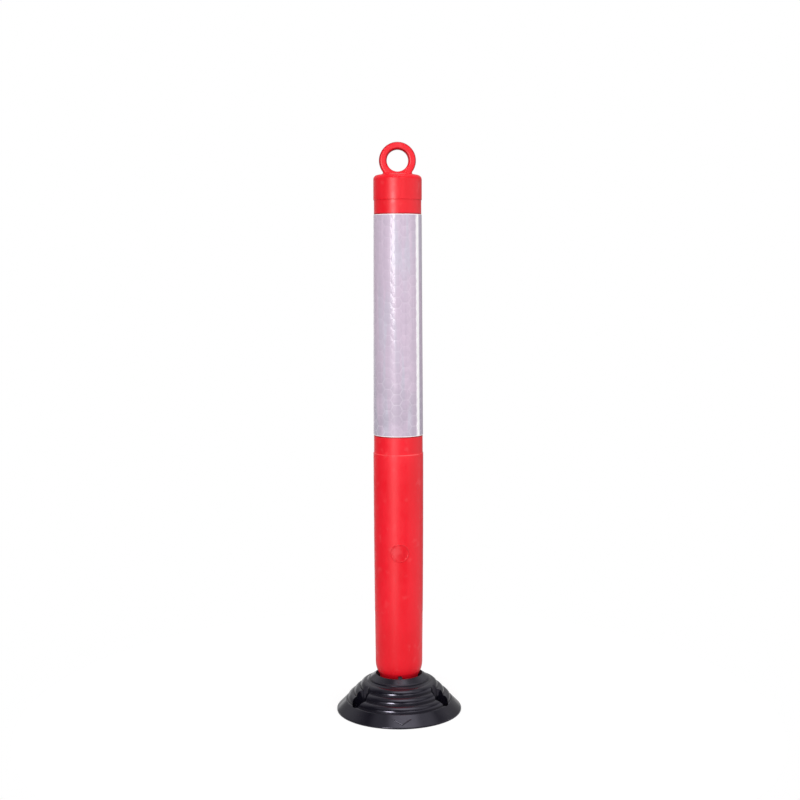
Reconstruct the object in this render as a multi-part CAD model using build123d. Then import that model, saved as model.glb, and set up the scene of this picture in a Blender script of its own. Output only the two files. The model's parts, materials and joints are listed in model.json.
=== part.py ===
from build123d import *
import os
from math import asin, cos, sin, sqrt

# A flexible road post: a red plastic tube that stands in a bolted-down rubber base, bends over when it is hit
# and springs back. Millimetres, +Z up, origin on the floor in the middle of the base, front towards -Y.

# Overall sizes
total_height = 750.0
base_diameter = 166.4
base_height = 49.0

# Outside of the rubber base: flange, ridges and collar
rim_height = 1.8
rim_round = 0.8
flange_width = 14.0
flange_height = 14.5
flange_ledge = 1.6
flange_round = 1.8
ridge_count = 3
ridge_bulge = 2.5
tread_width = 3.2
tread_rise = 1.8
valley_round = 0.8
collar_wall = 9.4
collar_height = 7.5
collar_lean = 0.3
collar_bevel_width = 8.8
collar_bevel_drop = 6.2
collar_round = 0.6
mouth_flare = 5.1
mouth_depth = 8.0

# Inside of the rubber base: socket, web, hollow underside
socket_floor_z = 19.0
socket_clearance = 0.2
web_thickness = 8.0
hub_wall = 10.3
rim_width = 9.2
skin_depth = 8.0
rib_count = 6
rib_thickness = 5.0

# Anchor pockets in the base
bolt_count = 3
bolt_inset = 23.2
bolt_hole_diameter = 11.0
pocket_diameter = 23.0
pocket_floor_z = 9.0
pocket_wall = 5.0
front_angle = -90.0
first_bolt_angle = front_angle + 60.0

# Locating lug at the front of the collar, and the notch in the post that it fits
lug_width = 5.2
lug_neck_gap = 0.9
lug_seat = 0.1
lug_rise = 2.6
lug_round = 1.6
notch_clearance = 0.4

# Chevron moulded on the front of the flange
chevron_half_width = 11.0
chevron_inset = 8.6
chevron_depth = 5.6
chevron_round = 0.9

# Post moulding
post_diameter = 65.7
post_wall = 3.0
foot_taper = 1.55
shoulder_in = 5.8
shoulder_above_base = 17.0
shoulder_round = 32.0
foot_floor = 6.0
neck_wall = 5.5
foot_bore_blend = 6.0
barrel_bulge = 0.37
recess_depth = 0.65
recess_taper = 1.55

# The post bends in two short lengths, one above the other
lower_bend_above_base = 55.0
bend_spacing = 94.0

# Plain round mark moulded on the front of the post
mark_radius = 12.0
mark_line = 1.3
mark_rise = 0.45
mark_above_bend = 20.2

# Ring cap
ring_outer_radius = 23.8
ring_section = 9.9
ring_depth = 11.0
ring_round = 3.4
eye_above_dome = 2.1
cap_head_height = 34.7
cap_overhang = 0.75
cap_shoulder_round = 6.0
cap_dome_rise = 3.4
cap_edge_round = 0.8
cap_ceiling = 3.4
cap_foot_flare = 2.2
plug_length = 27.0
plug_wall = 2.5
plug_clearance = 0.15
bead_below_seam = 17.0
bead_rise = 0.6
bead_width = 3.0
bead_clearance = 0.2

# Reflective sheet
sheet_top_margin = 18.3
sheet_height = 286.3
sheet_bottom_margin = 23.7
sheet_thickness = 0.4
sheet_adhesive = 0.1
sheet_lap_angle = 13.0
sheet_end_angle = front_angle + 59.0

# Fixing of the post to the base: one bolt on the axis
bolt_diameter = 10.0
bolt_length = 35.0
bolt_clearance = 0.5
thread_clearance = 0.05
head_margin = 3.0
head_height = 6.4
head_chamfer = 0.8
lower_washer_diameter = 40.0
lower_washer_thickness = 3.0
upper_washer_diameter = 30.0
upper_washer_thickness = 2.5
washer_recess_clearance = 2.0
nut_margin = 3.5
nut_height = 7.4
nut_collar_wall = 1.2
nut_collar_height = 2.6
insert_wall = 1.4
insert_height = 3.0

# Levels and radii that follow from the sizes above
base_radius = base_diameter / 2
step_radius = post_diameter / 2
foot_radius = step_radius - foot_taper
neck_radius = foot_radius - shoulder_in
foot_bore_radius = neck_radius - neck_wall
recess_bottom_radius = step_radius - recess_depth
recess_top_radius = recess_bottom_radius - recess_taper
socket_radius = neck_radius + socket_clearance
mouth_radius = socket_radius + mouth_flare
lug_inner_radius = neck_radius + lug_neck_gap
lug_outer_radius = mouth_radius + lug_seat
collar_foot_radius = mouth_radius + collar_wall
collar_foot_z = base_height - collar_height
ridge_spacing = (base_radius - flange_width - collar_foot_radius - tread_width) / ridge_count
ridge_rise = (collar_foot_z - tread_rise - flange_height) / ridge_count
shoulder_z = base_height + shoulder_above_base
lower_bend_z = base_height + lower_bend_above_base
upper_bend_z = lower_bend_z + bend_spacing
mark_z = upper_bend_z + mark_above_bend
eye_radius = ring_outer_radius - ring_section
ring_z = total_height - ring_outer_radius
dome_top_z = ring_z - eye_radius - eye_above_dome
cap_seam_z = dome_top_z - cap_head_height
cap_radius = recess_top_radius + cap_overhang
sheet_top_z = cap_seam_z - sheet_top_margin
sheet_bottom_z = sheet_top_z - sheet_height
step_z = sheet_bottom_z - sheet_bottom_margin
bore_top_radius = recess_top_radius - post_wall
bore_step_radius = recess_bottom_radius - post_wall
plug_radius = bore_top_radius - plug_clearance
plug_bore_radius = plug_radius - plug_wall
bead_z = cap_seam_z - bead_below_seam
hub_radius = socket_radius + hub_wall
web_bottom_z = socket_floor_z - web_thickness
bolt_circle_radius = base_radius - bolt_inset
bolt_hole_radius = bolt_hole_diameter / 2
bolt_radius = bolt_diameter / 2
fixing_hole_radius = bolt_radius + bolt_clearance
head_top_z = web_bottom_z - lower_washer_thickness
foot_floor_top_z = socket_floor_z + foot_floor
nut_bottom_z = foot_floor_top_z + upper_washer_thickness
insert_radius = bolt_radius + insert_wall
nut_collar_radius = insert_radius + nut_collar_wall

# How far a cutting shape runs past the face that it cuts through
past = 1.0


def turned(face, angle=360.0):
    """Turn an outline drawn as (radius, height) about the post's axis."""
    return revolve(Plane.XZ * face, Axis.Z, angle)


def turned_polygon(*points):
    return turned(make_face(Polyline(*points, close=True)))


def rounded(face, corners, radius):
    """Round the corners of an outline that lie at the given (radius, height) points."""
    picked = [face.vertices().sort_by_distance(Vector(*corner))[0] for corner in corners]
    return fillet(picked, radius)


def bulged_arc(start, end, bulge):
    """An arc from start to end whose middle stands off the straight line, to the right of its way."""
    across = (end[0] - start[0], end[1] - start[1])
    length = sqrt(across[0] ** 2 + across[1] ** 2)
    middle = (
        (start[0] + end[0]) / 2 + bulge * across[1] / length,
        (start[1] + end[1]) / 2 - bulge * across[0] / length,
    )
    return ThreePointArc(start, middle, end)


def drum(radius, low_z, high_z):
    """A plain cylinder on the post's axis between two levels."""
    return Pos(0, 0, low_z) * Cylinder(radius, high_z - low_z, align=(Align.CENTER, Align.CENTER, Align.MIN))


def hexagon(across_flats, low_z, high_z):
    outline = RegularPolygon(across_flats / 2, 6, major_radius=False)
    return extrude(Pos(0, 0, low_z) * outline, high_z - low_z)


def around(angle, radius):
    """A place at this angle round the post's axis and this far from it."""
    return Rot(0, 0, angle) * Pos(radius, 0, 0)


# Rubber base


def base_dome():
    """The dome with its flange, rounded ridges and bevelled collar, before anything is cut from it."""
    valleys = []
    for i in range(ridge_count + 1):
        valleys.append((base_radius - flange_width - i * ridge_spacing, flange_height + i * ridge_rise))
    rim_top = (base_radius, rim_height)
    flange_top = (base_radius - flange_width + flange_ledge, flange_height)
    collar_foot = (collar_foot_radius, collar_foot_z)
    collar_edge = (collar_foot_radius - collar_lean, base_height - collar_bevel_drop)
    collar_top = (collar_edge[0] - collar_bevel_width, base_height)
    outline = Polyline((0, 0), (base_radius, 0), rim_top, flange_top, valleys[0])
    for low, high in zip(valleys, valleys[1:]):
        outline += bulged_arc(low, high, ridge_bulge)
    outline += Polyline(valleys[-1], collar_foot, collar_edge, collar_top, (0, base_height), (0, 0))
    face = rounded(make_face(outline), [*valleys, collar_foot], valley_round)
    face = rounded(face, [collar_edge, collar_top], collar_round)
    face = rounded(face, [flange_top], flange_round)
    return turned(rounded(face, [rim_top], rim_round))


def base_socket():
    """The well that the post's neck stands in, with a flared mouth, and the recess below the web."""
    well = turned_polygon(
        (0, socket_floor_z),
        (socket_radius, socket_floor_z),
        (socket_radius, base_height - mouth_depth),
        (mouth_radius, base_height),
        (mouth_radius, base_height + past),
        (0, base_height + past),
    )
    recess = drum(lower_washer_diameter / 2 + washer_recess_clearance, -past, web_bottom_z)
    return well + recess + drum(fixing_hole_radius, web_bottom_z - past, socket_floor_z + past)


def base_hollow():
    """The hollow underside between the hub and the rim, parted by ribs and by the bolt bosses."""
    hollow_top_z = collar_foot_z - skin_depth
    hollow = turned_polygon(
        (hub_radius, -past),
        (base_radius - rim_width, -past),
        (base_radius - rim_width, 0),
        (hub_radius, hollow_top_z),
    )
    boss_radius = pocket_diameter / 2 + pocket_wall
    for i in range(bolt_count):
        boss = drum(boss_radius, -2 * past, base_height)
        hollow -= around(first_bolt_angle + i * 360 / bolt_count, bolt_circle_radius) * boss
    for i in range(rib_count):
        rib = Box(base_radius, rib_thickness, 2 * base_height, align=(Align.MIN, Align.CENTER, Align.CENTER))
        hollow -= Rot(0, 0, first_bolt_angle + i * 360 / rib_count) * rib
    return hollow


def base_pocket():
    """One anchor pocket, open at the top, with its hole through to the floor."""
    pocket = drum(pocket_diameter / 2, pocket_floor_z, base_height)
    return pocket + drum(bolt_hole_radius, -past, pocket_floor_z + past)


def locating_lug(clearance=0.0):
    """The lug on the front of the collar, or with a clearance the notch that it fits."""
    depth = lug_outer_radius - lug_inner_radius
    low_z = base_height - mouth_depth
    high_z = base_height + lug_rise
    lug = Box(
        lug_width + 2 * clearance,
        depth + 2 * clearance,
        high_z - low_z + 2 * clearance,
    )
    if clearance == 0:
        lug = fillet(lug.edges().filter_by(Axis.Y).group_by(Axis.Z)[-1], lug_round)
    return Pos(0, -(lug_inner_radius + depth / 2), (low_z + high_z) / 2) * lug


def on_flange(x, y):
    """The point of the flange's slope above this place."""
    slope = (flange_height - rim_height) / (flange_width - flange_ledge)
    return (x, y, rim_height + slope * (base_radius - sqrt(x**2 + y**2)))


def flange_chevron():
    """A raised round line in a V on the front of the flange, pointing outwards."""
    back = base_radius - chevron_inset
    tip = on_flange(0, -back - chevron_depth)
    chevron = Pos(*tip) * Sphere(chevron_round)
    for side in (-chevron_half_width, chevron_half_width):
        end = on_flange(side, -back)
        arm = Line(tip, end)
        chevron += sweep(Plane(arm @ 0, z_dir=arm % 0) * Circle(chevron_round), path=arm)
        chevron += Pos(*end) * Sphere(chevron_round)
    return chevron


def make_rubber_base():
    base = base_dome() + flange_chevron() - base_socket() - base_hollow()
    for i in range(bolt_count):
        base -= around(first_bolt_angle + i * 360 / bolt_count, bolt_circle_radius) * base_pocket()
    return base + locating_lug()


# Post moulding


def recess_radius(z):
    """Outside radius of the tapered length that the sheet is wrapped on."""
    share = (z - step_z) / (cap_seam_z - step_z)
    return recess_bottom_radius + share * (recess_top_radius - recess_bottom_radius)


def post_outside(grow=0.0):
    """Outside of the post as a solid bar, with every radius larger by grow."""
    rounding_in = foot_radius - neck_radius
    turn = asin(sqrt(shoulder_round**2 - (shoulder_round - rounding_in) ** 2) / shoulder_round)
    middle = (foot_radius - shoulder_round * (1 - cos(turn / 2)), shoulder_z - shoulder_round * sin(turn / 2))
    neck_top_z = shoulder_z - shoulder_round * sin(turn)
    neck_top = (neck_radius + grow, neck_top_z)
    shoulder = (foot_radius + grow, shoulder_z)
    step = (step_radius + grow, step_z)
    outline = Polyline((0, socket_floor_z), (neck_radius + grow, socket_floor_z), neck_top)
    outline += ThreePointArc(neck_top, (middle[0] + grow, middle[1]), shoulder)
    outline += bulged_arc(shoulder, step, barrel_bulge)
    outline += Polyline(
        step,
        (recess_bottom_radius + grow, step_z),
        (recess_top_radius + grow, cap_seam_z),
        (0, cap_seam_z),
        (0, socket_floor_z),
    )
    return turned(make_face(outline))


def post_bore():
    """Inside of the post, narrow at the foot, open at the top, with the groove for the cap's bead."""
    bore = turned_polygon(
        (0, foot_floor_top_z),
        (foot_bore_radius, foot_floor_top_z),
        (foot_bore_radius, base_height),
        (foot_radius - post_wall, shoulder_z + foot_bore_blend),
        (bore_step_radius, step_z),
        (bore_top_radius, cap_seam_z),
        (bore_top_radius, cap_seam_z + past),
        (0, cap_seam_z + past),
    )
    groove = bead_ring(bore_top_radius + bead_rise + bead_clearance, bead_width + 2 * bead_clearance)
    return bore + groove + drum(fixing_hole_radius, socket_floor_z - past, foot_floor_top_z + past)


def bead_ring(crest_radius, width):
    """A ring with a pointed rim round the cap's plug, or the groove for it."""
    root_radius = crest_radius - width / 2
    return turned_polygon(
        (plug_bore_radius, bead_z - width / 2),
        (root_radius, bead_z - width / 2),
        (crest_radius, bead_z),
        (root_radius, bead_z + width / 2),
        (plug_bore_radius, bead_z + width / 2),
    )


def front_mark():
    """A thin raised circle on the front of the post."""
    circle = Circle(mark_radius) - Circle(mark_radius - mark_line)
    prism = extrude(Plane.XZ * Pos(0, mark_z) * circle, base_radius)
    return prism & post_outside(mark_rise)


def make_post_pieces():
    """The post moulding, parted where it bends."""
    post = post_outside() + front_mark() - post_bore() - locating_lug(notch_clearance)
    lower_cut = Plane.XY.offset(lower_bend_z)
    upper_cut = Plane.XY.offset(upper_bend_z)
    foot = split(post, lower_cut, keep=Keep.BOTTOM)
    above_foot = split(post, lower_cut, keep=Keep.TOP)
    flex = split(above_foot, upper_cut, keep=Keep.BOTTOM)
    upper = split(above_foot, upper_cut, keep=Keep.TOP)
    return foot, flex, upper


# Ring cap


def make_ring_cap():
    dome_edge = (cap_radius, dome_top_z - cap_dome_rise)
    seam_edge = (cap_radius, cap_seam_z)
    dome_radius = (cap_radius**2 + cap_dome_rise**2) / (2 * cap_dome_rise)
    half_way = cap_radius / 2
    dome_half_way = (half_way, dome_top_z - dome_radius + sqrt(dome_radius**2 - half_way**2))
    outline = Polyline((0, dome_top_z), (0, cap_seam_z), seam_edge, dome_edge)
    outline += ThreePointArc(dome_edge, dome_half_way, (0, dome_top_z))
    face = rounded(make_face(outline), [dome_edge], cap_shoulder_round)
    head = turned(rounded(face, [seam_edge], cap_edge_round))

    section = Pos(eye_radius + ring_section / 2, 0) * RectangleRounded(ring_section, ring_depth, ring_round)
    ring = Pos(0, 0, ring_z) * revolve(section, Axis.Y)
    eye = Pos(0, 0, ring_z) * Rot(90, 0, 0) * Cylinder(eye_radius, 2 * ring_depth)
    cap = head + ring
    cap = fillet(new_edges(head, ring, combined=cap), cap_foot_flare) - eye

    plug = drum(plug_radius, cap_seam_z - plug_length, cap_seam_z + past)
    bead = bead_ring(bore_top_radius + bead_rise, bead_width)
    hollow = drum(plug_bore_radius, cap_seam_z - plug_length - past, dome_edge[1] - cap_ceiling)
    return cap + plug + bead - hollow


# Reflective sheet


def sheet_outline(lift):
    ends = [(recess_radius(z) + sheet_adhesive + lift, z) for z in (sheet_bottom_z, sheet_top_z)]
    outside = [(radius + sheet_thickness, z) for radius, z in reversed(ends)]
    return make_face(Polyline(*ends, *outside, close=True))


def make_reflective_sheet():
    """The sheet wrapped once round the post, with its end lapped over its start at the front right."""
    lap = turned(sheet_outline(sheet_thickness), sheet_lap_angle)
    return turned(sheet_outline(0)) + Rot(0, 0, sheet_end_angle - sheet_lap_angle) * lap


# Fixing on the axis


def make_centre_bolt():
    head = hexagon(bolt_diameter + 2 * head_margin, head_top_z - head_height, head_top_z)
    head = chamfer(head.faces().sort_by(Axis.Z)[0].edges(), head_chamfer)
    shank = drum(bolt_radius, head_top_z, head_top_z + bolt_length)
    shank = chamfer(shank.faces().sort_by(Axis.Z)[-1].edges(), head_chamfer)
    return head + shank


def make_washer(diameter, low_z, thickness):
    high_z = low_z + thickness
    return drum(diameter / 2, low_z, high_z) - drum(fixing_hole_radius, low_z - past, high_z + past)


def make_lock_nut():
    """The nut and the nylon ring seated in its collar."""
    hex_top_z = nut_bottom_z + nut_height
    top_z = hex_top_z + nut_collar_height
    thread = drum(bolt_radius + thread_clearance, nut_bottom_z - past, top_z + past)
    seat = drum(insert_radius, top_z - insert_height, top_z + past)
    nut = hexagon(bolt_diameter + 2 * nut_margin, nut_bottom_z, hex_top_z)
    nut += drum(nut_collar_radius, hex_top_z, top_z)
    insert = drum(insert_radius - thread_clearance, top_z - insert_height, top_z)
    return nut - thread - seat, insert - thread


post_foot, post_flex_section, post_upper_tube = make_post_pieces()
lock_nut, lock_nut_insert = make_lock_nut()
nodes = {
    "rubber_base": make_rubber_base(),
    "post_foot": post_foot,
    "post_flex_section": post_flex_section,
    "post_upper_tube": post_upper_tube,
    "ring_cap": make_ring_cap(),
    "reflective_sheet": make_reflective_sheet(),
    "centre_bolt": make_centre_bolt(),
    "clamp_washer_lower": make_washer(lower_washer_diameter, head_top_z, lower_washer_thickness),
    "clamp_washer_upper": make_washer(upper_washer_diameter, foot_floor_top_z, upper_washer_thickness),
    "lock_nut": lock_nut,
    "lock_nut_insert": lock_nut_insert,
}
os.makedirs("parts", exist_ok=True)
for name, piece in nodes.items():
    export_step(piece, f"parts/{name}.step")
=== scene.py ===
import json
from math import acos, asin, cos, hypot, pi, radians, sin, sqrt, tan, tau

import bpy
from mathutils import Euler, Matrix, Quaternion, Vector


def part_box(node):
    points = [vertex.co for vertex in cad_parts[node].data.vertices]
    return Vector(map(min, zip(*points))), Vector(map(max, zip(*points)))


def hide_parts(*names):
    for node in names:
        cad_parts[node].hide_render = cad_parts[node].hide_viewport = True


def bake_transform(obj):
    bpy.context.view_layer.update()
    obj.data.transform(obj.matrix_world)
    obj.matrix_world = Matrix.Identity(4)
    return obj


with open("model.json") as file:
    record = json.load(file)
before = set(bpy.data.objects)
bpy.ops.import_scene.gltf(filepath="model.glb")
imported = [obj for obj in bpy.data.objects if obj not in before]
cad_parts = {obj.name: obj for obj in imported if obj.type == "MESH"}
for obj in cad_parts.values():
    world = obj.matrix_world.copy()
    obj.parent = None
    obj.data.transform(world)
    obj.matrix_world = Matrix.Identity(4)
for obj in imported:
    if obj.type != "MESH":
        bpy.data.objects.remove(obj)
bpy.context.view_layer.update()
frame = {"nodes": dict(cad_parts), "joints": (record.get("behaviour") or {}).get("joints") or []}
nodes = frame["nodes"]
mm = 0.001

# Post moulding
step_radius = 32.85 * mm
foot_taper = 1.55 * mm
shoulder_in = 5.8 * mm
shoulder_round = 32.0 * mm
shoulder_below_bend = 38.0 * mm
neck_wall = 5.5 * mm
post_wall = 3.0 * mm
foot_floor = 6.0 * mm
foot_bore_blend = 6.0 * mm
barrel_bulge = 0.37 * mm
recess_depth = 0.65 * mm
recess_taper = 1.55 * mm
fixing_hole_radius = 5.5 * mm
bead_below_seam = 17.0 * mm
bead_groove_depth = 0.8 * mm
bead_groove_half_width = 1.7 * mm

# Edges of the post that the moulding rounds off
step_edge_round = 0.9 * mm
foot_edge_round = 1.2 * mm

# Notch for the base's lug, and the plain round mark, both on the front of the post
notch_half_width = 3.0 * mm
notch_back = 26.0 * mm
notch_above_lug = 0.4 * mm
mark_above_bend = 20.2 * mm
mark_radius = 12.0 * mm
mark_line = 1.3 * mm
mark_rise = 0.45 * mm
relief_slope = 0.35 * mm

# Lug, collar and ridges of the base
lug_rise = 2.6 * mm
socket_clearance = 0.2 * mm
mouth_flare = 5.1 * mm
collar_wall = 9.4 * mm
collar_bevel_drop = 6.2 * mm
tread_width = 3.2 * mm
ridge_count = 3
flange_width = 14.0 * mm

# Ring of the cap
ring_outer_radius = 23.8 * mm
ring_section = 9.9 * mm

# Reflective sheet: its angles run from the front of the post to the right, as seen from the front
sheet_bottom_margin = 23.7 * mm
cell_pitch = 13.9 * mm
cell_wall = 1.2 * mm
first_cell_from_front = -15.6 * mm
first_cell_below_top = 22.5 * mm
sealed_edge = 0.9 * mm
lap_start = radians(45)
lap_start_fade = radians(3)
lap_end = radians(53.5)
lap_end_fade = radians(2)
lap_shade_end = 2 * lap_end
lap_scallop = radians(5)
lap_scallop_level = 0.45

# Fine relief of the surfaces
plastic_peel = 0.05 * mm
plastic_grain = 0.012 * mm
rubber_waves = 0.06 * mm
rubber_grain = 0.02 * mm
film_waves = 0.22 * mm
cell_dome = 0.2 * mm

# How far painted shade, the dirt and painted shade of the grooves, and scuffs reach
shade_reach = 2.2 * mm
rim_shade_reach = 2.4 * mm
groove_reach = 0.7 * mm
edge_scuff_reach = 1.6 * mm

# Grid of the post's skin
coarse_columns = 150
fine_spacing = 0.35 * mm
fine_margin = 2.0 * mm
fine_below_shoulder = 24.0 * mm
bend_spacing = 2.4 * mm
plain_spacing = 9.0 * mm
round_steps = 5
sharp_angle = radians(35)

# Camera, whose azimuth is 0 straight in front of the object
camera_azimuth = radians(-3)
camera_pitch = radians(5.8)
camera_roll = radians(0.18)
camera_sideways = 2.4 * mm
camera_distance = 1698.5 * mm
camera_height = 588.6 * mm
focal_pixels = 1300.0
frame_pixels = 800.0

# Floor, and the distances from its middle at which its shade changes
floor_radius = 500.0 * mm
floor_drop = 0.3 * mm
floor_corners = 96
floor_dark_end = 70.0 * mm
floor_lit_start = 80.0 * mm
floor_fade_start = 120.0 * mm
floor_white_start = 420.0 * mm

# Levels that follow from these and from the frame
hinge_z = {joint["name"]: joint["pos_m"][2] for joint in frame["joints"]}
lower_bend_z = hinge_z["bend_front_back"]
upper_bend_z = hinge_z["bend_left_right"]
skin_meeting_z = (lower_bend_z + upper_bend_z) / 2
bend_reach = (upper_bend_z - lower_bend_z) / 2
foot_bottom_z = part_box("post_foot")[0].z
foot_floor_z = foot_bottom_z + foot_floor
seam_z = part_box("post_upper_tube")[1].z
sheet_bottom_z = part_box("reflective_sheet")[0].z
sheet_top_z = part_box("reflective_sheet")[1].z
sheet_middle_z = (sheet_bottom_z + sheet_top_z) / 2
step_z = sheet_bottom_z - sheet_bottom_margin
lug_top_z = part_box("rubber_base")[1].z
notch_top_z = lug_top_z + notch_above_lug
collar_top_z = lug_top_z - lug_rise
collar_edge_z = collar_top_z - collar_bevel_drop
shoulder_z = lower_bend_z - shoulder_below_bend
neck_top_z = shoulder_z - sqrt(shoulder_round**2 - (shoulder_round - shoulder_in) ** 2)
bore_blend_bottom_z = collar_top_z
bore_blend_top_z = shoulder_z + foot_bore_blend
mark_z = upper_bend_z + mark_above_bend
ring_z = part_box("ring_cap")[1].z - ring_outer_radius

# Radii that follow from these and from the frame
foot_radius = step_radius - foot_taper
neck_radius = foot_radius - shoulder_in
foot_bore_radius = neck_radius - neck_wall
recess_bottom_radius = step_radius - recess_depth
eye_radius = ring_outer_radius - ring_section
mouth_radius = neck_radius + socket_clearance + mouth_flare
collar_foot_radius = mouth_radius + collar_wall
lowest_groove_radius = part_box("rubber_base")[1].x - flange_width
ridge_spacing = (lowest_groove_radius - collar_foot_radius - tread_width) / ridge_count


# Shape of the post's skin


def smooth_step(low, high, value):
    """0 up to low, 1 from high, and a smooth rise between them."""
    share = min(1.0, max(0.0, (value - low) / (high - low)))
    return share * share * (3 - 2 * share)


def spread(low, high, spacing):
    """Evenly spaced levels from low up to, but not at, high."""
    count = max(1, round((high - low) / spacing))
    return [low + (high - low) * i / count for i in range(count)]


def outer_radius(z):
    """Outside of the post at this level, before its front relief."""
    if z < neck_top_z:
        return neck_radius
    if z < shoulder_z:
        return foot_radius - shoulder_round + sqrt(shoulder_round**2 - (shoulder_z - z) ** 2)
    if z < step_z:
        share = (z - shoulder_z) / (step_z - shoulder_z)
        return foot_radius + foot_taper * share + 4 * barrel_bulge * share * (1 - share)
    return recess_bottom_radius - recess_taper * (z - step_z) / (seam_z - step_z)


def bore_radius(z):
    """Inside of the post at this level."""
    if z < bore_blend_bottom_z:
        return foot_bore_radius
    blend_top_radius = foot_radius - post_wall
    if z < bore_blend_top_z:
        share = (z - bore_blend_bottom_z) / (bore_blend_top_z - bore_blend_bottom_z)
        return foot_bore_radius + share * (blend_top_radius - foot_bore_radius)
    step_bore_radius = recess_bottom_radius - post_wall
    if z < step_z:
        share = (z - bore_blend_top_z) / (step_z - bore_blend_top_z)
        return blend_top_radius + share * (step_bore_radius - blend_top_radius)
    return step_bore_radius - recess_taper * (z - step_z) / (seam_z - step_z)


def rounded_edge(radius, z, size, end_radius):
    """Points of a rounded upper edge, from its side up to where it meets end_radius."""
    centre_radius = radius - size
    centre_z = z - size
    turn = acos((end_radius - centre_radius) / size)
    angles = [turn * i / round_steps for i in range(round_steps + 1)]
    return [(centre_radius + size * cos(angle), centre_z + size * sin(angle)) for angle in angles]


def front_relief(x, z, radius):
    """How far the front of the post stands out from, or lies back of, its plain round surface."""
    off_line = abs(hypot(x, z - mark_z) - (mark_radius - mark_line / 2))
    on_mark = 1 - smooth_step(mark_line / 2 - relief_slope, mark_line / 2, off_line)
    beside = 1 - smooth_step(notch_half_width - relief_slope, notch_half_width, abs(x))
    below = 1 - smooth_step(notch_top_z - relief_slope, notch_top_z, z)
    notch_depth = max(0.0, radius - hypot(x, notch_back))
    return mark_rise * on_mark - notch_depth * beside * below


def columns():
    """Angles round the post, close together across its front, where the relief is."""
    half_fine = asin((mark_radius + fine_margin) / foot_radius)
    fine = spread(-half_fine, half_fine, fine_spacing / foot_radius)
    return fine + spread(half_fine, tau - half_fine, tau / coarse_columns)


def skin(name, outside, inside):
    """A closed round skin from its outside and its inside, both listed upwards as radius and level."""
    profile = [(radius, z, True) for radius, z in outside]
    profile += [(radius, z, False) for radius, z in reversed(inside)]
    turns = columns()
    points = []
    for radius, z, is_outside in profile:
        for turn in turns:
            grown = radius
            if is_outside and cos(turn) > 0:
                grown += front_relief(radius * sin(turn), z, radius)
            points.append((grown * sin(turn), -grown * cos(turn), z))
    faces = []
    for i in range(len(profile)):
        row = i * len(turns)
        next_row = (i + 1) % len(profile) * len(turns)
        for j in range(len(turns)):
            across = (j + 1) % len(turns)
            faces.append((row + j, row + across, next_row + across, next_row + j))
    mesh = bpy.data.meshes.new(name)
    mesh.from_pydata(points, [], faces)
    mesh.shade_smooth()
    mesh.set_sharp_from_angle(angle=sharp_angle)
    rest = mesh.attributes.new("rest_place", "FLOAT_VECTOR", "POINT")
    rest.data.foreach_set("vector", [value for point in points for value in point])
    made = bpy.data.objects.new(name, mesh)
    bpy.context.scene.collection.objects.link(made)
    return made


def make_lower_skin():
    """The post from its foot to half way between the two bends."""
    fine_low_z = shoulder_z - fine_below_shoulder
    fine_high_z = notch_top_z + fine_margin
    levels = [foot_bottom_z + foot_edge_round]
    levels += spread(foot_bottom_z + 2 * foot_edge_round, fine_low_z, plain_spacing)
    levels += spread(fine_low_z, fine_high_z, fine_spacing)
    levels += spread(fine_high_z, skin_meeting_z, bend_spacing) + [skin_meeting_z]
    outside = [(fixing_hole_radius, foot_bottom_z), (neck_radius - foot_edge_round, foot_bottom_z)]
    outside += [(outer_radius(z), z) for z in levels]
    levels = spread(foot_floor_z, bore_blend_bottom_z, plain_spacing)
    levels += spread(bore_blend_bottom_z, bore_blend_top_z, bend_spacing)
    levels += spread(bore_blend_top_z, skin_meeting_z, bend_spacing) + [skin_meeting_z]
    inside = [(fixing_hole_radius, foot_floor_z)] + [(bore_radius(z), z) for z in levels]
    return skin("post_lower_skin", outside, inside)


def make_upper_skin():
    """The post from half way between the two bends to the seam under the cap."""
    bend_end_z = upper_bend_z + bend_reach
    mark_reach = mark_radius + fine_margin
    levels = spread(skin_meeting_z, mark_z - mark_reach, bend_spacing)
    levels += spread(mark_z - mark_reach, mark_z + mark_reach, fine_spacing)
    levels += spread(mark_z + mark_reach, bend_end_z, bend_spacing)
    levels += spread(bend_end_z, step_z - step_edge_round, plain_spacing)
    outside = [(outer_radius(z), z) for z in levels]
    outside += rounded_edge(step_radius, step_z, step_edge_round, recess_bottom_radius)
    levels = spread(step_z, seam_z, plain_spacing) + [seam_z]
    outside += [(outer_radius(z), z) for z in levels[1:]]
    groove_z = seam_z - bead_below_seam
    levels = spread(skin_meeting_z, bend_end_z, bend_spacing)
    levels += spread(bend_end_z, groove_z - bead_groove_half_width, plain_spacing)
    inside = [(bore_radius(z), z) for z in levels]
    inside.append((bore_radius(groove_z), groove_z - bead_groove_half_width))
    inside.append((bore_radius(groove_z) + bead_groove_depth, groove_z))
    inside.append((bore_radius(groove_z), groove_z + bead_groove_half_width))
    inside.append((bore_radius(seam_z), seam_z))
    return skin("post_upper_skin", outside, inside)


# Materials


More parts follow.
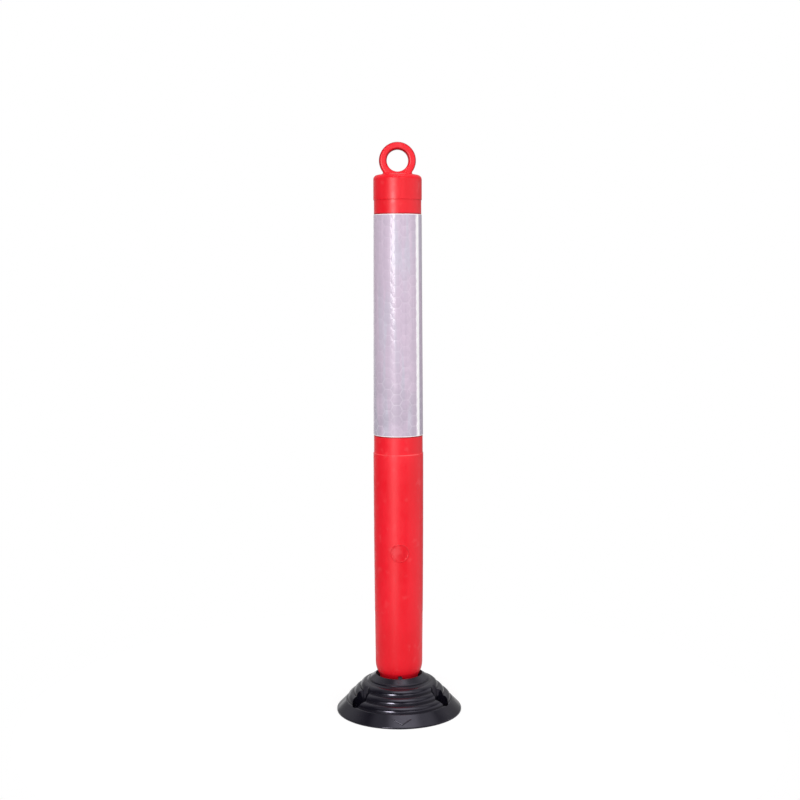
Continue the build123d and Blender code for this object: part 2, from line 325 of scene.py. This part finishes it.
class Shading:
    """Short calls that add nodes to a material's or the world's node tree."""

    # For each kind of value that a mix node takes: its two inputs and its output
    mix_sockets = {"FLOAT": (2, 3, 0), "VECTOR": (4, 5, 1), "RGBA": (6, 7, 2)}

    def __init__(self, tree):
        self.tree = tree

    def add(self, kind, **settings):
        node = self.tree.nodes.new(kind)
        for setting, value in settings.items():
            setattr(node, setting, value)
        return node

    def feed(self, socket, value):
        """Set a socket to a value, or link it to another node's output."""
        if isinstance(value, bpy.types.NodeSocket):
            self.tree.links.new(value, socket)
        else:
            socket.default_value = value

    def fed(self, kind, values, **settings):
        """A new node with its first inputs fed."""
        node = self.add(kind, **settings)
        for socket, value in zip(node.inputs, values):
            self.feed(socket, value)
        return node

    def math(self, operation, *values):
        return self.fed("ShaderNodeMath", values, operation=operation).outputs[0]

    def times(self, first, second):
        return self.math("MULTIPLY", first, second)

    def larger(self, first, second):
        return self.math("MAXIMUM", first, second)

    def apart(self, first, second):
        """How far apart two numbers are."""
        return self.math("ABSOLUTE", self.math("SUBTRACT", first, second))

    def vector(self, operation, *values):
        """A vector worked out from others."""
        return self.fed("ShaderNodeVectorMath", values, operation=operation).outputs["Vector"]

    def measure(self, operation, *values):
        """A number worked out from vectors."""
        return self.fed("ShaderNodeVectorMath", values, operation=operation).outputs["Value"]

    def parts(self, vector):
        return self.fed("ShaderNodeSeparateXYZ", (vector,)).outputs

    def remap(self, value, low, high, new_low, new_high):
        """A number that changes smoothly from new_low to new_high as another goes from low to high."""
        numbers = (value, low, high, new_low, new_high)
        return self.fed("ShaderNodeMapRange", numbers, interpolation_type="SMOOTHSTEP").outputs[0]

    def blended(self, kind, share, first, second):
        first_input, second_input, output = self.mix_sockets[kind]
        node = self.add("ShaderNodeMix", data_type=kind)
        self.feed(node.inputs["Factor"], share)
        self.feed(node.inputs[first_input], first)
        self.feed(node.inputs[second_input], second)
        return node.outputs[output]

    def between(self, share, first, second):
        """A number between two others."""
        return self.blended("FLOAT", share, first, second)

    def mix(self, share, first, second):
        """A colour between two others."""
        return self.blended("RGBA", share, first, second)

    def off_centre(self, x, z, centre_z):
        """How far a point lies from the axis that runs front to back at a level."""
        above = self.math("SUBTRACT", z, centre_z)
        squares = self.math("MULTIPLY_ADD", x, x, self.times(above, above))
        return self.math("SQRT", squares)

    def seen_directly(self):
        """1 for rays that show the background: seen by the camera, mirrored or through glass."""
        path = self.add("ShaderNodeLightPath").outputs
        most = path["Is Camera Ray"]
        for name in ("Is Glossy Ray", "Is Transmission Ray"):
            most = self.larger(most, path[name])
        return most


class Finish(Shading):
    """A procedural material."""

    def __init__(self, name, rest_place=False):
        self.material = bpy.data.materials.new(name)
        self.material.use_nodes = True
        super().__init__(self.material.node_tree)
        self.shader = self.tree.nodes["Principled BSDF"]
        if rest_place:
            source = self.add("ShaderNodeAttribute", attribute_name="rest_place")
            self.place = source.outputs["Vector"]
        else:
            self.place = self.add("ShaderNodeTexCoord").outputs["Object"]

    def stretched(self, x, y, z):
        """The surface's coordinates, scaled along each axis."""
        return self.vector("MULTIPLY", self.place, (x, y, z))

    def noise(self, scale, detail=3.0, roughness=0.55, place=None):
        """Soft noise from 0 to 1, with about as many patches as scale to a unit of its coordinates."""
        node = self.add("ShaderNodeTexNoise")
        self.feed(node.inputs["Vector"], place or self.place)
        node.inputs["Scale"].default_value = scale
        node.inputs["Detail"].default_value = detail
        node.inputs["Roughness"].default_value = roughness
        return node.outputs["Fac"]

    def bump(self, height, depth, under=None):
        """Relief of the given depth in metres, on top of another relief if there is one."""
        node = self.add("ShaderNodeBump")
        node.inputs["Distance"].default_value = depth
        self.feed(node.inputs["Height"], height)
        if under is not None:
            self.feed(node.inputs["Normal"], under)
        return node.outputs["Normal"]

    def honeycomb(self, across, along, pitch):
        """How far a point lies from the middle of its hexagonal cell, and that middle, both in pitches.

        The distance is 0 in the middle of a cell and 0.5 on its walls.
        """
        shift = (0.5, sqrt(3) / 2, 0.0)
        low = (-0.5, -sqrt(3) / 2, -1.0)
        high = (0.5, sqrt(3) / 2, 1.0)
        place = self.fed("ShaderNodeCombineXYZ", (along, across, 0.0)).outputs[0]
        place = self.vector("MULTIPLY", place, (1 / pitch, 1 / pitch, 0.0))
        even = self.vector("WRAP", place, high, low)
        odd = self.vector("WRAP", self.vector("SUBTRACT", place, shift), high, low)
        even_is_nearer = self.math("LESS_THAN", self.measure("LENGTH", even), self.measure("LENGTH", odd))
        nearer = self.blended("VECTOR", even_is_nearer, odd, even)
        off = self.vector("ABSOLUTE", nearer)
        slanted = self.measure("DOT_PRODUCT", off, shift)
        middle = self.vector("SUBTRACT", place, nearer)
        return self.larger(self.parts(off)["X"], slanted), middle

    def set(self, **sockets):
        """Feed the shader's sockets, with underscores for the spaces in their names."""
        for name, value in sockets.items():
            self.feed(self.shader.inputs[name.replace("_", " ")], value)


def post_painted_shade(look):
    """Painted shade in the joint with the base, along the edges of the sheet, and round the moulded mark and
    inside it, on the front.
    """
    place = look.parts(look.place)
    height = place["Z"]
    unshaded_z = collar_top_z + 3 * shade_reach
    painted_shade = look.remap(height, unshaded_z - 1.5 * shade_reach, unshaded_z, 0.4, 0.0)
    for edge_z in (sheet_bottom_z, sheet_top_z):
        off_edge = look.apart(height, edge_z)
        painted_shade = look.larger(painted_shade, look.remap(off_edge, 0.3 * shade_reach, shade_reach, 0.75, 0.0))
    off_mark = look.off_centre(place["X"], height, mark_z)
    off_line = look.math("SUBTRACT", off_mark, mark_radius - mark_line / 2)
    off_side = look.apart(look.math("ABSOLUTE", off_line), mark_line / 2)
    round_mark = look.remap(off_side, 0.0, 0.4 * shade_reach, 0.16, 0.0)
    in_mark = look.remap(off_line, 0.0, mark_line, 0.1, 0.0)
    on_front = look.math("LESS_THAN", place["Y"], 0.0)
    mark_shade = look.times(look.larger(round_mark, in_mark), on_front)
    return look.larger(painted_shade, mark_shade)


def painted_step_highlight(look):
    """A painted highlight on the edge of the step below the sheet, stronger in some places than in others."""
    off_edge = look.apart(look.parts(look.place)["Z"], step_z - step_edge_round / 2)
    on_edge = look.remap(off_edge, 0.4 * step_edge_round, step_edge_round, 0.6, 0.0)
    return look.times(on_edge, look.remap(look.noise(35.0), 0.35, 0.6, 0.2, 1.0))


def ring_painted_shade(look):
    """Painted shade in the ring's eye, most of all under its top, and fainter painted shade round its rim."""
    place = look.parts(look.place)
    off_middle = look.off_centre(place["X"], place["Z"], ring_z)
    in_eye = look.remap(off_middle, eye_radius, eye_radius + 1.6 * rim_shade_reach, 0.9, 0.0)
    above = look.math("SUBTRACT", place["Z"], ring_z)
    in_eye = look.times(in_eye, look.remap(above, -eye_radius, eye_radius, 0.3, 1.0))
    on_rim = look.remap(off_middle, ring_outer_radius - rim_shade_reach, ring_outer_radius, 0.0, 0.75)
    on_ring = look.remap(above, -ring_outer_radius, -eye_radius / 2, 0.0, 1.0)
    return look.times(look.larger(in_eye, on_rim), on_ring)


def no_painted_highlight(look):
    """The cap has no painted highlight."""
    return 0.0


def red_plastic(name, painted_shade, painted_highlight, rest_place=False):
    """Satin moulded plastic, a little uneven, with faint flow lines, scuffs, smudges, a painted highlight and
    painted shade.
    """
    red = (0.80, 0.004, 0.014, 1)
    lighter_red = (0.88, 0.008, 0.022, 1)
    scuff_and_highlight_pink = (0.9, 0.14, 0.15, 1)
    shaded_red = (0.22, 0.001, 0.006, 1)
    look = Finish(name, rest_place)
    blotches = look.noise(14.0)
    flow = look.noise(60.0, place=look.stretched(1.0, 1.0, 0.08))
    shade = look.math("ADD", look.times(blotches, 0.6), look.times(flow, 0.4))
    colour = look.mix(look.remap(shade, 0.35, 0.65, 0.0, 1.0), red, lighter_red)
    patches = look.remap(look.noise(38.0, detail=2.0), 0.6, 0.72, 0.0, 1.0)
    threads = look.noise(420.0, detail=2.0, place=look.stretched(1.0, 1.0, 0.25))
    scuffs = look.times(patches, look.remap(threads, 0.6, 0.75, 0.0, 1.0))
    smudges = look.remap(look.noise(70.0, detail=1.0), 0.6, 0.76, 0.0, 0.17)
    marks = look.larger(look.times(scuffs, 0.3), smudges)
    # Scuffs and smudges, and the painted highlight, in pale pink
    colour = look.mix(look.larger(marks, painted_highlight(look)), colour, scuff_and_highlight_pink)
    # Painted shade, in dark red
    look.set(Base_Color=look.mix(painted_shade(look), colour, shaded_red))
    look.set(Specular_IOR_Level=0.38)
    satin = look.remap(look.noise(90.0), 0.3, 0.7, 0.28, 0.4)
    look.set(Roughness=look.math("MULTIPLY_ADD", scuffs, 0.1, satin))
    peel = look.bump(look.noise(260.0, detail=2.0), plastic_peel)
    look.set(Normal=look.bump(look.noise(1500.0, detail=2.0), plastic_grain, under=peel))
    return look.material


def groove_dirt_and_shade(look, off_axis):
    """Dirt and painted shade in the grooves at the foot of the collar and between the ridges."""
    grooves = [lowest_groove_radius - i * ridge_spacing for i in range(ridge_count)]
    dirt_and_shade = 0.0
    for radius in [collar_foot_radius] + grooves:
        off_groove = look.apart(off_axis, radius)
        in_groove = look.remap(off_groove, groove_reach / 3, groove_reach, 1.0, 0.0)
        dirt_and_shade = look.larger(dirt_and_shade, in_groove)
    return dirt_and_shade


def black_rubber():
    """Satin rubber with a fine grain, a trace of dust, dull dirt and painted shade in its grooves and a
    scuffed collar.
    """
    black = (0.0045, 0.004, 0.0075, 1)
    dusty_black = (0.008, 0.007, 0.0115, 1)
    plain_shine = (0.87, 0.83, 1.0, 1)
    shaded_shine = (0.28, 0.265, 0.32, 1)
    look = Finish("black_rubber_satin")
    patches = look.remap(look.noise(45.0, detail=5.0), 0.45, 0.75, 0.0, 0.6)
    upward = look.parts(look.add("ShaderNodeNewGeometry").outputs["Normal"])["Z"]
    dust = look.larger(patches, look.remap(upward, 0.75, 0.97, 0.0, 1.0))
    look.set(Base_Color=look.mix(dust, black, dusty_black))
    off_axis = look.measure("LENGTH", look.stretched(1.0, 1.0, 0.0))
    dirt_and_shade = groove_dirt_and_shade(look, off_axis)
    look.set(Specular_IOR_Level=0.6)
    # Painted shade: the shine is darker in the grooves
    look.set(Specular_Tint=look.mix(dirt_and_shade, plain_shine, shaded_shine))
    satin = look.remap(look.noise(120.0), 0.3, 0.7, 0.11, 0.15)
    rough = look.math("MULTIPLY_ADD", dust, 0.16, satin)
    off_edge = look.apart(look.parts(look.place)["Z"], collar_edge_z)
    scuffed = look.remap(off_edge, 0.5 * edge_scuff_reach, edge_scuff_reach, 0.25, 0.0)
    in_mouth = look.remap(off_axis, mouth_radius, mouth_radius + edge_scuff_reach / 2, 0.45, 0.0)
    dulled = look.larger(look.larger(scuffed, in_mouth), look.times(dirt_and_shade, 0.2))
    look.set(Roughness=look.math("ADD", rough, dulled))
    grain = look.bump(look.noise(700.0, detail=3.0), rubber_grain)
    look.set(Normal=look.bump(look.noise(90.0, detail=2.0), rubber_waves, under=grain))
    return look.material


def film_colour(look, height, to_wall, middle):
    """Lilac and bluish silver with upright streaks, darker patches low down, and cells that are clearest
    there.
    """
    lilac = (0.63, 0.51, 0.63, 1)
    bluish = (0.58, 0.54, 0.64, 1)
    streak = (0.51, 0.42, 0.53, 1)
    blotch = (0.53, 0.44, 0.55, 1)
    low_grey = (0.38, 0.34, 0.42, 1)
    deep_cell = (0.42, 0.37, 0.46, 1)
    pale_wall = (0.84, 0.78, 0.86, 1)
    tint = look.noise(70.0, detail=2.0, place=look.stretched(1.0, 1.0, 0.1))
    colour = look.mix(look.remap(tint, 0.5, 0.62, 0.0, 1.0), lilac, bluish)
    streaks = look.noise(190.0, detail=2.0, place=look.stretched(1.0, 1.0, 0.05))
    colour = look.mix(look.remap(streaks, 0.35, 0.65, 0.0, 0.5), colour, streak)
    mottle = look.remap(look.noise(170.0, detail=2.0), 0.35, 0.65, 0.0, 0.3)
    colour = look.mix(mottle, colour, blotch)
    toward_bottom = look.remap(height, sheet_bottom_z, sheet_middle_z, 1.0, 0.0)
    patches = look.remap(look.noise(45.0, detail=4.0, roughness=0.7), 0.4, 0.62, 0.0, 0.45)
    colour = look.mix(look.times(toward_bottom, patches), colour, low_grey)
    clear = look.remap(look.noise(22.0, detail=2.0), 0.35, 0.65, 0.25, 1.0)
    clear = look.times(clear, look.remap(height, sheet_bottom_z, sheet_middle_z, 1.0, 0.4))
    tone = look.remap(look.noise(1.7, detail=0.0, place=middle), 0.35, 0.65, 0.05, 0.5)
    colour = look.mix(look.times(tone, clear), colour, deep_cell)
    on_wall = look.remap(to_wall, 0.5 - cell_wall / cell_pitch, 0.5, 0.0, 1.0)
    return look.mix(look.times(look.times(on_wall, clear), 0.42), colour, pale_wall)


def film_seals_and_lap_light(look, height, turn, to_wall):
    """Sealed white along the film's upper and lower edges and its lap, where the white is also a painted
    highlight, and painted shade beside the lap.
    """
    half_height = (sheet_top_z - sheet_bottom_z) / 2
    off_middle = look.apart(height, sheet_middle_z)
    on_edge = look.remap(off_middle, half_height - sealed_edge, half_height - 0.7 * sealed_edge, 0.0, 1.0)
    off_level = look.math("SUBTRACT", to_wall, lap_scallop_level)
    scalloped_turn = look.math("MULTIPLY_ADD", off_level, lap_scallop, turn)
    past_start = look.remap(scalloped_turn, lap_start - lap_start_fade, lap_start + lap_start_fade, 0.0, 1.0)
    past_end = look.remap(turn, lap_end, lap_end + lap_end_fade, 0.0, 1.0)
    # The white lap strip is a seal and a painted highlight
    seals_and_lap_highlight = look.larger(on_edge, look.math("SUBTRACT", past_start, past_end))
    # Painted shade beside the lap
    shade = look.times(past_end, look.remap(turn, lap_shade_end, lap_end, 0.0, 0.3))
    return seals_and_lap_highlight, shade


def reflective_film():
    """Silver-white sheeting: hexagonal cells under a clear, glossy, slightly wavy skin, with sealed edges."""
    lap_shade = (0.42, 0.38, 0.49, 1)
    seal_and_highlight_white = (0.97, 0.96, 0.97, 1)
    look = Finish("reflective_film_honeycomb")
    place = look.parts(look.place)
    turn = look.math("ARCTAN2", place["X"], look.times(place["Y"], -1.0))
    across = look.math("MULTIPLY_ADD", turn, recess_bottom_radius, -first_cell_from_front)
    along = look.math("SUBTRACT", place["Z"], sheet_top_z - first_cell_below_top)
    to_wall, middle = look.honeycomb(across, along, cell_pitch)
    seals_and_lap_highlight, beside_lap = film_seals_and_lap_light(look, place["Z"], turn, to_wall)
    colour = look.mix(beside_lap, film_colour(look, place["Z"], to_wall, middle), lap_shade)
    look.set(Base_Color=look.mix(seals_and_lap_highlight, colour, seal_and_highlight_white))
    look.set(Roughness=look.remap(look.noise(300.0), 0.3, 0.7, 0.15, 0.2))
    look.set(Specular_IOR_Level=0.36)
    waves = look.bump(look.noise(45.0, detail=2.0, place=look.stretched(1.0, 1.0, 0.5)), film_waves)
    # 0 in the middle of a cell and -1 on its walls
    dome = look.times(look.times(to_wall, to_wall), -4.0)
    look.set(Normal=look.bump(dome, cell_dome, under=waves))
    return look.material


def zinc_plate():
    """Bright zinc plating, a little cloudy."""
    bluish_grey = (0.55, 0.56, 0.58, 1)
    pale_grey = (0.66, 0.66, 0.66, 1)
    look = Finish("zinc_plate")
    look.set(Base_Color=look.mix(look.noise(180.0), bluish_grey, pale_grey))
    look.set(Roughness=look.remap(look.noise(600.0), 0.3, 0.7, 0.28, 0.4))
    look.set(Metallic=1.0)
    return look.material


def natural_nylon():
    """Milky nylon, a little uneven in colour."""
    ivory = (0.78, 0.77, 0.72, 1)
    paler_ivory = (0.85, 0.84, 0.8, 1)
    look = Finish("natural_nylon")
    look.set(Base_Color=look.mix(look.noise(300.0), ivory, paler_ivory))
    look.set(Roughness=0.45)
    return look.material


# Post

lower_skin = make_lower_skin()
upper_skin = make_upper_skin()
red_skin = red_plastic("red_plastic_post", post_painted_shade, painted_step_highlight, rest_place=True)
for piece in (lower_skin, upper_skin):
    piece.data.materials.append(red_skin)
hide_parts("post_foot", "post_flex_section")
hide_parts("post_upper_tube")
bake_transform(lower_skin)
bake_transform(upper_skin)

# Finishes of the CAD nodes

finishes = {
    "rubber_base": black_rubber(),
    "ring_cap": red_plastic("red_plastic_cap", ring_painted_shade, no_painted_highlight),
    "reflective_sheet": reflective_film(),
    "lock_nut_insert": natural_nylon(),
}
zinc = zinc_plate()
for node in ("centre_bolt", "clamp_washer_lower", "clamp_washer_upper", "lock_nut"):
    finishes[node] = zinc
for node, material in finishes.items():
    nodes[node].data.materials[0] = material


# Stage


def make_world():
    """Even light from above and a white background. Mirrored rays meet a dim room with lamps in it."""
    white = 1.0
    ambient_above = 0.7
    ambient_below = 0.05
    room_front = 0.05
    room_back = 0.36
    ceiling_back = 0.35
    # Azimuth from the camera, pitch, angle of the bright middle, angle of the faded edge and brightness
    mirrored_lamps = (
        (-166, -6, 8, 24, 1.0),
        (70, 60, 6, 28, 0.9),
        (-50, 66, 4, 24, 0.5),
        (26, 78, 4, 24, 2.6),
        (26, 18, 5, 20, 2.4),
        (-20, 25, 2, 11, 13.0),
    )
    world = bpy.data.worlds.new("studio")
    world.use_nodes = True
    bpy.context.scene.world = world
    world.node_tree.nodes.clear()
    sky = Shading(world.node_tree)
    direction = sky.add("ShaderNodeTexCoord").outputs["Generated"]
    backward = sky.parts(direction)["Y"]
    upward = sky.parts(direction)["Z"]
    ambient = sky.remap(upward, -0.6, 0.2, ambient_below, ambient_above)
    room = sky.remap(backward, 0.1, 0.8, room_front, room_back)
    ceiling = sky.remap(upward, 0.25, 0.6, 0.0, ceiling_back)
    at_back = sky.remap(backward, -0.1, 0.35, 0.0, 1.0)
    mirrored = sky.math("MULTIPLY_ADD", ceiling, at_back, room)
    for azimuth, pitch, middle, edge, brightness in mirrored_lamps:
        turn = camera_azimuth + radians(azimuth)
        level = cos(radians(pitch))
        to_lamp = (level * sin(turn), -level * cos(turn), sin(radians(pitch)))
        in_line = sky.measure("DOT_PRODUCT", direction, to_lamp)
        share = sky.remap(in_line, cos(radians(edge)), cos(radians(middle)), 0.0, 1.0)
        mirrored = sky.between(share, mirrored, brightness)
    seen = sky.between(sky.add("ShaderNodeLightPath").outputs["Is Camera Ray"], mirrored, white)
    background = sky.add("ShaderNodeBackground")
    sky.feed(background.inputs["Strength"], sky.between(sky.seen_directly(), ambient, seen))
    background.inputs["Color"].default_value = (1, 1, 1, 1)
    out = sky.add("ShaderNodeOutputWorld")
    sky.feed(out.inputs["Surface"], background.outputs[0])


def make_floor():
    """A round pale table that keeps the object's shadow, has a painted shadow under the base, and turns white
    towards its edge.
    """
    bounce_grey = (0.25, 0.25, 0.25, 1)
    shadow_grey = (0.3, 0.3, 0.3, 1)
    glow_in_painted_shadow = 0.05
    glow_near_base = 0.72
    mirrored_near_base = 0.2
    mirrored_at_edge = 0.5
    angles = [tau * i / floor_corners for i in range(floor_corners)]
    edge = [(floor_radius * cos(angle), floor_radius * sin(angle), -floor_drop) for angle in angles]
    mesh = bpy.data.meshes.new("floor")
    mesh.from_pydata(edge, [], [range(floor_corners)])
    floor = bpy.data.objects.new("floor", mesh)
    bpy.context.scene.collection.objects.link(floor)
    look = Finish("pale_floor")
    look.tree.nodes.remove(look.shader)
    bounce = look.fed("ShaderNodeBsdfDiffuse", (bounce_grey,))
    shaded = look.fed("ShaderNodeBsdfDiffuse", (shadow_grey,))
    glow = look.add("ShaderNodeEmission")
    off_middle = look.measure("LENGTH", look.place)
    # Painted shadow: the glow fades under the base
    past_base = look.remap(off_middle, floor_dark_end, floor_lit_start, glow_in_painted_shadow, 1.0)
    faded = look.remap(off_middle, floor_fade_start, floor_white_start, glow_near_base, 1.0)
    seen = look.times(past_base, faded)
    mirrored = look.remap(off_middle, floor_fade_start, floor_radius, mirrored_near_base, mirrored_at_edge)
    is_seen = look.add("ShaderNodeLightPath").outputs["Is Camera Ray"]
    look.feed(glow.inputs["Strength"], look.between(is_seen, mirrored, seen))
    pale = look.fed("ShaderNodeAddShader", (shaded.outputs[0], glow.outputs[0]))
    shown = look.fed("ShaderNodeMixShader", (look.seen_directly(), bounce.outputs[0], pale.outputs[0]))
    look.feed(look.tree.nodes["Material Output"].inputs["Surface"], shown.outputs[0])
    mesh.materials.append(look.material)


def softbox(name, low_z, high_z, azimuth, span, brightness, distance=1.5):
    """An upright soft light between two levels, which spans an angle seen from the object.

    Azimuth 0 is towards the camera, and it grows to the camera's right. A brightness of 1 looks white.
    """
    # An area light with this energy to the square metre looks white
    energy_of_white = 4.0
    light = bpy.data.lights.new(name, "AREA")
    light.shape = "RECTANGLE"
    light.size = 2 * distance * tan(radians(span) / 2)
    light.size_y = high_z - low_z
    light.energy = energy_of_white * brightness * light.size * light.size_y
    made = bpy.data.objects.new(name, light)
    turn = camera_azimuth + radians(azimuth)
    made.location = (distance * sin(turn), -distance * cos(turn), (low_z + high_z) / 2)
    made.rotation_euler = (pi / 2, 0, turn)
    made.visible_camera = False
    bpy.context.scene.collection.objects.link(made)
    return made


def make_lights():
    """Upright lamps, lower parts of them that only show in reflections, and two lamps that show in none."""
    far = 1.7
    bottom_z = -0.5
    split_z = 0.1
    top_z = 1.1
    key_bottom_z = -0.4
    key_split_z = 0.52
    key_top_z = 0.95
    overhead_depth = 1.15
    overhead_place = (0.35, -0.39, 2.2)
    front_left = {"azimuth": -22, "span": 56, "brightness": 0.65, "distance": far}
    right = {"azimuth": 80, "span": 76, "brightness": 0.62, "distance": far}
    softbox("key", key_split_z, key_top_z, azimuth=-22, span=17, brightness=11.0)
    softbox("front_left", split_z, top_z, **front_left)
    softbox("right", split_z, top_z, **right)
    mirrored_only = (
        softbox("key_low", key_bottom_z, key_split_z, azimuth=-19, span=20, brightness=1.5),
        softbox("front_left_low", bottom_z, split_z, **front_left),
        softbox("right_low", bottom_z, split_z, **right),
    )
    for lamp in mirrored_only:
        lamp.visible_diffuse = False
    # The overhead lamp is laid flat, so its levels only set its depth
    overhead = softbox("overhead", 0.0, overhead_depth, azimuth=0, span=46, brightness=1.7)
    overhead.location = overhead_place
    overhead.rotation_euler = (0, 0, 0)
    fill = softbox("fill", split_z, top_z, azimuth=20, span=60, brightness=0.6)
    for lamp in (overhead, fill):
        lamp.visible_glossy = False


def make_camera():
    """The photograph's view: level with the upper part of the sheet, looking slightly down."""
    camera = bpy.data.cameras.new("camera")
    camera.sensor_width = 36.0
    camera.lens = camera.sensor_width * focal_pixels / frame_pixels
    made = bpy.data.objects.new("camera", camera)
    in_front = Vector((camera_sideways, -camera_distance, camera_height))
    made.location = Matrix.Rotation(camera_azimuth, 3, "Z") @ in_front
    made.rotation_mode = "QUATERNION"
    level = Euler((pi / 2 - camera_pitch, 0, camera_azimuth)).to_quaternion()
    made.rotation_quaternion = level @ Quaternion((0, 0, 1), -camera_roll)
    bpy.context.scene.collection.objects.link(made)
    bpy.context.scene.camera = made


make_world()
make_floor()
make_lights()
make_camera()
bpy.context.scene.view_settings.view_transform = "Standard"
